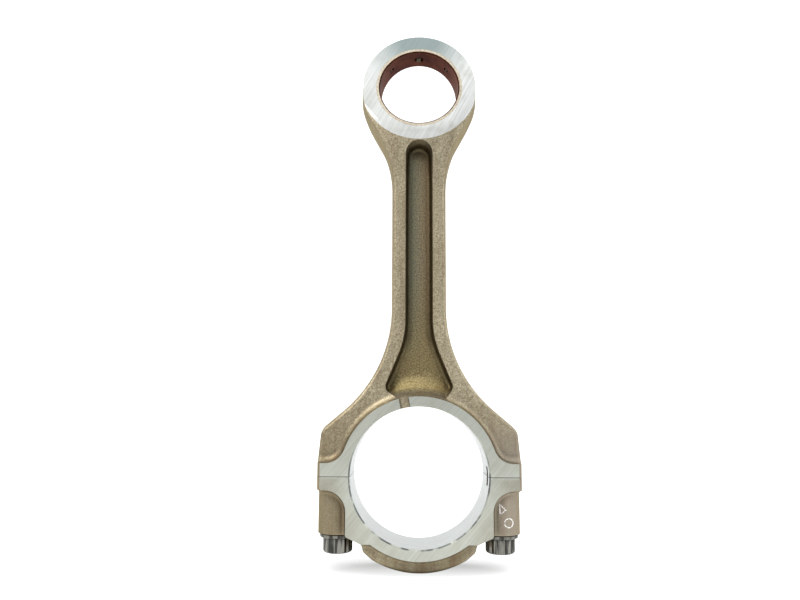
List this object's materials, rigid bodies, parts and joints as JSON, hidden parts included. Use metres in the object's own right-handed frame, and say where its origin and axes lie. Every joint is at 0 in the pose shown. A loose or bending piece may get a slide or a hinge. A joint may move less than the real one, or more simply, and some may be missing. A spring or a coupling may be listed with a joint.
{
  "type": "connecting rod",
  "caption": "Forged engine connecting rod with an I-section shank, tapered small end with a bronze pin bush, and a split big end whose cap is held by twelve-point bolts.",
  "frame": {"origin": "middle of the flat foot under the bearing cap, halfway between the front and back faces", "axes": "+Z from the cap up the shank to the small end, +Y along both bores from the front face to the back face, +X across the two cap bolts"},
  "size_m": [0.11, 0.034, 0.3012],
  "materials": {
    "forged_steel": "shot-blasted forging with a brown-grey tint and pale machined faces",
    "bush_bronze": "fine-bored bronze",
    "bolt_steel": "dark phosphated steel",
    "washer_steel": "dark hardened steel"
  },
  "bodies": {
    "rod": {"rod_body": "forged_steel", "small_end_bush": "bush_bronze"},
    "cap": {"bearing_cap": "forged_steel"},
    "washer_left": {"bolt_washer_left": "washer_steel"},
    "washer_right": {"bolt_washer_right": "washer_steel"},
    "bolt_left": {"cap_bolt_left": "bolt_steel"},
    "bolt_right": {"cap_bolt_right": "bolt_steel"}
  },
  "joints": [
    {"name": "cap_slide", "type": "slide", "parent": "rod", "child": "cap", "axis": [0, 0, -1], "range_m": [0, 0.06]},
    {"name": "bolt_left_back_out", "type": "slide", "parent": "cap", "child": "washer_left", "axis": [0, 0, -1], "range_m": [0, 0.0156]},
    {"name": "bolt_left_turn", "type": "hinge", "parent": "washer_left", "child": "bolt_left", "pos_m": [-0.04375, 0, 0.0499], "axis": [0, 0, -1], "range_deg": [0, 4500]},
    {"name": "bolt_right_back_out", "type": "slide", "parent": "cap", "child": "washer_right", "axis": [0, 0, -1], "range_m": [0, 0.0156]},
    {"name": "bolt_right_turn", "type": "hinge", "parent": "washer_right", "child": "bolt_right", "pos_m": [0.04375, 0, 0.0499], "axis": [0, 0, -1], "range_deg": [0, 4500]}
  ],
  "couplings": [
    {"joint": "bolt_left_turn", "follows": "bolt_left_back_out", "rad_per_m": 5026.5},
    {"joint": "bolt_right_turn", "follows": "bolt_right_back_out", "rad_per_m": 5026.5}
  ]
}
